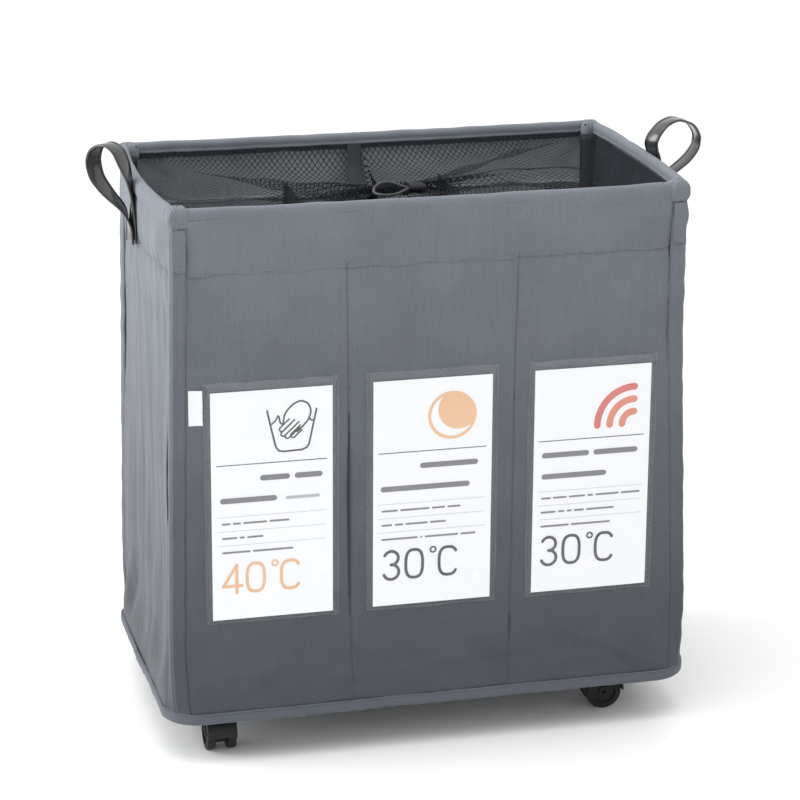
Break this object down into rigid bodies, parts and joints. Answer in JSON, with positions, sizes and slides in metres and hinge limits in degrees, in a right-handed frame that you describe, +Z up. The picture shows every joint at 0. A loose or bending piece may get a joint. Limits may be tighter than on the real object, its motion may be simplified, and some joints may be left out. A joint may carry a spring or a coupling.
{
  "type": "laundry sorter on wheels",
  "caption": "Rectangular fabric laundry sorter on swivel casters, with compartments, a drawstring net cover, label pockets on the front and a strap loop handle at each end.",
  "frame": {"origin": "on the floor, under the middle of the body", "axes": "+Z up, -Y out of the front with the label pockets, +X towards the right-hand handle"},
  "size_m": [0.6882, 0.343, 0.643],
  "materials": {
    "fabric": "matt coated woven polyester",
    "hem_tape": "bound woven tape",
    "board": "plain hardboard",
    "steel": "drawn tube and rod",
    "zinc": "zinc plated",
    "black_plastic": "moulded, satin",
    "wheel": "moulded, satin",
    "net": "open knitted net",
    "cord": "smooth round cord with a slight shine",
    "strap": "coated strap, glossy, double stitched",
    "clear_film": "clear flexible film",
    "card": "printed card",
    "tag": "blank woven ribbon"
  },
  "bodies": {
    "sorter": {"base_board": "board", "base_cover": "fabric", "base_hem": "hem_tape", "front_panel": "fabric", "back_panel": "fabric", "left_panel": "fabric", "right_panel": "fabric", "rim_hem_front": "fabric", "rim_hem_back": "fabric", "rim_hem_left": "fabric", "rim_hem_right": "fabric", "rim_corner_covers": "fabric", "rim_rods": "steel", "rim_connectors": "black_plastic", "post_feet": "black_plastic", "mesh_cover": "net", "drawcord": "cord", "cord_lock_body": "black_plastic", "cord_lock_spring": "steel", "seam_tag": "tag", "caster_plates": "zinc", "caster_screws": "zinc", "caster_nuts": "zinc", "divider_left": "fabric", "divider_right": "fabric", "handle_left_tab": "strap", "handle_right_tab": "strap", "corner_sleeve_front_left": "fabric", "corner_post_front_left": "steel", "corner_sleeve_front_right": "fabric", "corner_post_front_right": "steel", "corner_sleeve_back_left": "fabric", "corner_post_back_left": "steel", "corner_sleeve_back_right": "fabric", "corner_post_back_right": "steel", "label_pocket_left": "clear_film", "label_pocket_centre": "clear_film", "label_pocket_right": "clear_film"},
    "caster_front_left_swivel": {"caster_front_left_housing": "black_plastic", "caster_front_left_axle": "zinc"},
    "caster_front_left_roll": {"caster_front_left_wheels": "wheel"},
    "caster_front_right_swivel": {"caster_front_right_housing": "black_plastic", "caster_front_right_axle": "zinc"},
    "caster_front_right_roll": {"caster_front_right_wheels": "wheel"},
    "caster_back_left_swivel": {"caster_back_left_housing": "black_plastic", "caster_back_left_axle": "zinc"},
    "caster_back_left_roll": {"caster_back_left_wheels": "wheel"},
    "caster_back_right_swivel": {"caster_back_right_housing": "black_plastic", "caster_back_right_axle": "zinc"},
    "caster_back_right_roll": {"caster_back_right_wheels": "wheel"},
    "card_left": {"label_card_left": "card"},
    "card_centre": {"label_card_centre": "card"},
    "card_right": {"label_card_right": "card"},
    "handle_left": {"handle_left_loop": "strap"},
    "handle_right": {"handle_right_loop": "strap"},
    "flap_front_left": {"sleeve_flap_front_left": "fabric"},
    "flap_front_right": {"sleeve_flap_front_right": "fabric"},
    "flap_back_left": {"sleeve_flap_back_left": "fabric"},
    "flap_back_right": {"sleeve_flap_back_right": "fabric"},
    "cord_lock_press": {"cord_lock_button": "black_plastic"}
  },
  "joints": [
    {"name": "caster_front_left_swivel_turn", "type": "hinge", "parent": "sorter", "child": "caster_front_left_swivel", "pos_m": [-0.228, -0.111, 0.04], "axis": [0, 0, 1], "continuous": true},
    {"name": "caster_front_left_wheel_spin", "type": "hinge", "parent": "caster_front_left_swivel", "child": "caster_front_left_roll", "pos_m": [-0.228, -0.128, 0.02], "axis": [1, 0, 0], "continuous": true},
    {"name": "caster_front_right_swivel_turn", "type": "hinge", "parent": "sorter", "child": "caster_front_right_swivel", "pos_m": [0.228, -0.111, 0.04], "axis": [0, 0, 1], "continuous": true},
    {"name": "caster_front_right_wheel_spin", "type": "hinge", "parent": "caster_front_right_swivel", "child": "caster_front_right_roll", "pos_m": [0.211, -0.111, 0.02], "axis": [0, -1, 0], "continuous": true},
    {"name": "caster_back_left_swivel_turn", "type": "hinge", "parent": "sorter", "child": "caster_back_left_swivel", "pos_m": [-0.228, 0.111, 0.04], "axis": [0, 0, 1], "continuous": true},
    {"name": "caster_back_left_wheel_spin", "type": "hinge", "parent": "caster_back_left_swivel", "child": "caster_back_left_roll", "pos_m": [-0.22082, 0.12641, 0.02], "axis": [-0.9063, 0.4226, 0], "continuous": true},
    {"name": "caster_back_right_swivel_turn", "type": "hinge", "parent": "sorter", "child": "caster_back_right_swivel", "pos_m": [0.228, 0.111, 0.04], "axis": [0, 0, 1], "continuous": true},
    {"name": "caster_back_right_wheel_spin", "type": "hinge", "parent": "caster_back_right_swivel", "child": "caster_back_right_roll", "pos_m": [0.21328, 0.1195, 0.02], "axis": [-0.5, -0.866, 0], "continuous": true},
    {"name": "card_left_slide", "type": "slide", "parent": "sorter", "child": "card_left", "axis": [0, 0, 1], "range_m": [0, 0.24]},
    {"name": "card_centre_slide", "type": "slide", "parent": "sorter", "child": "card_centre", "axis": [0, 0, 1], "range_m": [0, 0.24]},
    {"name": "card_right_slide", "type": "slide", "parent": "sorter", "child": "card_right", "axis": [0, 0, 1], "range_m": [0, 0.24]},
    {"name": "handle_left_fold", "type": "hinge", "parent": "sorter", "child": "handle_left", "pos_m": [-0.2838, 0, 0.5761], "axis": [0, -1, 0], "range_deg": [0, 90], "stiffness_Nm_per_rad": 0.06, "springref_deg": -17.19},
    {"name": "handle_right_fold", "type": "hinge", "parent": "sorter", "child": "handle_right", "pos_m": [0.2838, 0, 0.5761], "axis": [0, 1, 0], "range_deg": [0, 90], "stiffness_Nm_per_rad": 0.06, "springref_deg": -17.19},
    {"name": "flap_front_left_lift", "type": "hinge", "parent": "sorter", "child": "flap_front_left", "pos_m": [-0.26875, -0.1609, 0.588], "axis": [-1, 0, 0], "range_deg": [0, 150]},
    {"name": "flap_front_right_lift", "type": "hinge", "parent": "sorter", "child": "flap_front_right", "pos_m": [0.26875, -0.1609, 0.588], "axis": [-1, 0, 0], "range_deg": [0, 150]},
    {"name": "flap_back_left_lift", "type": "hinge", "parent": "sorter", "child": "flap_back_left", "pos_m": [-0.26875, 0.1609, 0.588], "axis": [1, 0, 0], "range_deg": [0, 150]},
    {"name": "flap_back_right_lift", "type": "hinge", "parent": "sorter", "child": "flap_back_right", "pos_m": [0.26875, 0.1609, 0.588], "axis": [1, 0, 0], "range_deg": [0, 150]},
    {"name": "cord_lock_press", "type": "slide", "parent": "sorter", "child": "cord_lock_press", "axis": [-1, 0, 0], "range_m": [0, 0.003], "stiffness_N_per_m": 250, "springref_m": -0.002}
  ]
}
